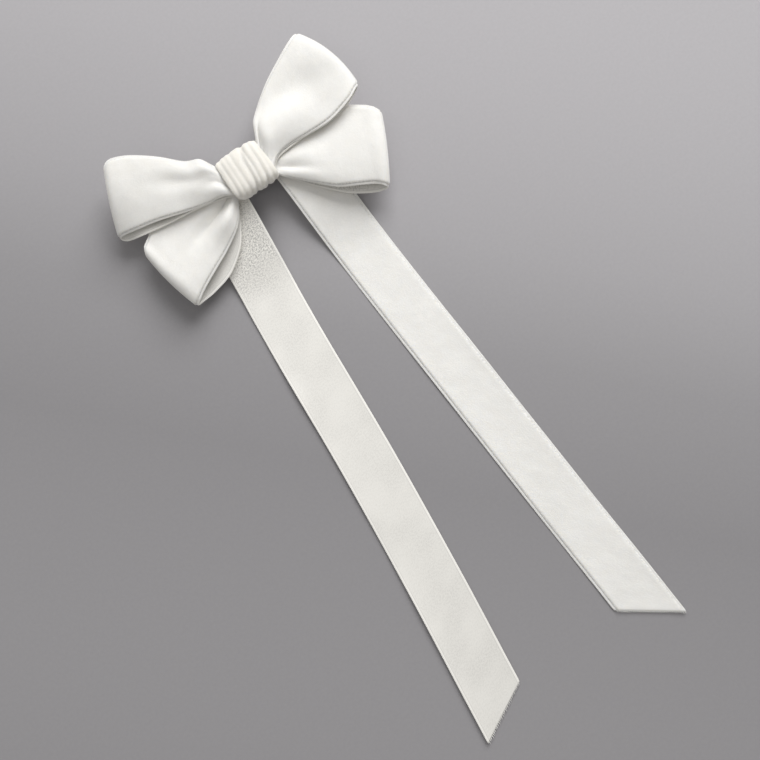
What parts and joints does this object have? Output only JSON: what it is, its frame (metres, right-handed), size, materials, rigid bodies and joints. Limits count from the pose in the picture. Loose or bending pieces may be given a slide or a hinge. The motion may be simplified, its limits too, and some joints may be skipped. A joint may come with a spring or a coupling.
{
  "type": "hair bow",
  "caption": "White velvet ribbon hair bow with looped ends, a gathered middle and long hanging tails, on a sprung steel barrette clip.",
  "frame": {"origin": "middle of the clasp arm's outer face, the face that lies against the head", "axes": "+X along the barrette towards its catch, -Y towards the tails' ends, +Z out of the front of the bow"},
  "size_m": [0.1234, 0.3091, 0.0284],
  "materials": {
    "velvet": "short dense white pile with smooth woven edges",
    "ribbon_back": "smooth speckled back of a velvet ribbon",
    "thread": "wound sewing thread",
    "glue": "set hot-melt glue, slightly yellow",
    "plated_steel": "nickel-plated sheet steel, lightly worn",
    "spring_steel": "bare spring strip with fine rolling lines"
  },
  "bodies": {
    "clip_and_bow": {"upper_loop_ribbon": "velvet", "lower_loop_ribbon": "velvet", "knot_wrap": "velvet", "waist_thread": "thread", "knot_glue_pad": "glue", "left_tail_glued_end": "ribbon_back", "right_tail_glued_end": "velvet", "barrette_plate": "plated_steel", "hinge_pin": "plated_steel", "catch_base": "spring_steel", "catch_rivet": "plated_steel"},
    "clasp": {"clasp_arm": "plated_steel"},
    "tension": {"tension_bar": "spring_steel"},
    "wing_left": {"catch_wing_left": "spring_steel"},
    "wing_right": {"catch_wing_right": "spring_steel"},
    "tail_left": {"left_tail": "ribbon_back"},
    "tail_right": {"right_tail": "velvet"}
  },
  "joints": [
    {"name": "clasp_arm_hinge", "type": "hinge", "parent": "clip_and_bow", "child": "clasp", "pos_m": [-0.037, 0, 0.0001], "axis": [0, 1, 0], "range_deg": [0, 85]},
    {"name": "tension_bar_flex", "type": "hinge", "parent": "clip_and_bow", "child": "tension", "pos_m": [-0.037, 0, 0.0001], "axis": [0, 1, 0], "range_deg": [-1.7, 0], "stiffness_Nm_per_rad": 0.3},
    {"name": "catch_wing_left_squeeze", "type": "slide", "parent": "clip_and_bow", "child": "wing_left", "axis": [0, 1, 0], "range_m": [0, 0.0008], "stiffness_N_per_m": 200},
    {"name": "catch_wing_right_squeeze", "type": "slide", "parent": "clip_and_bow", "child": "wing_right", "axis": [0, -1, 0], "range_m": [0, 0.0008], "stiffness_N_per_m": 200},
    {"name": "left_tail_swing", "type": "hinge", "parent": "clip_and_bow", "child": "tail_left", "pos_m": [-0.0182, -0.0056, 0.0088], "axis": [0.9937, 0, 0.112], "range_deg": [-7, 30]},
    {"name": "right_tail_swing", "type": "hinge", "parent": "clip_and_bow", "child": "tail_right", "pos_m": [0.0216, -0.0056, 0.0084], "axis": [0.9911, 0, -0.1329], "range_deg": [-7, 30]}
  ],
  "couplings": [
    {"joint": "catch_wing_right_squeeze", "follows": "catch_wing_left_squeeze", "ratio": 1}
  ]
}
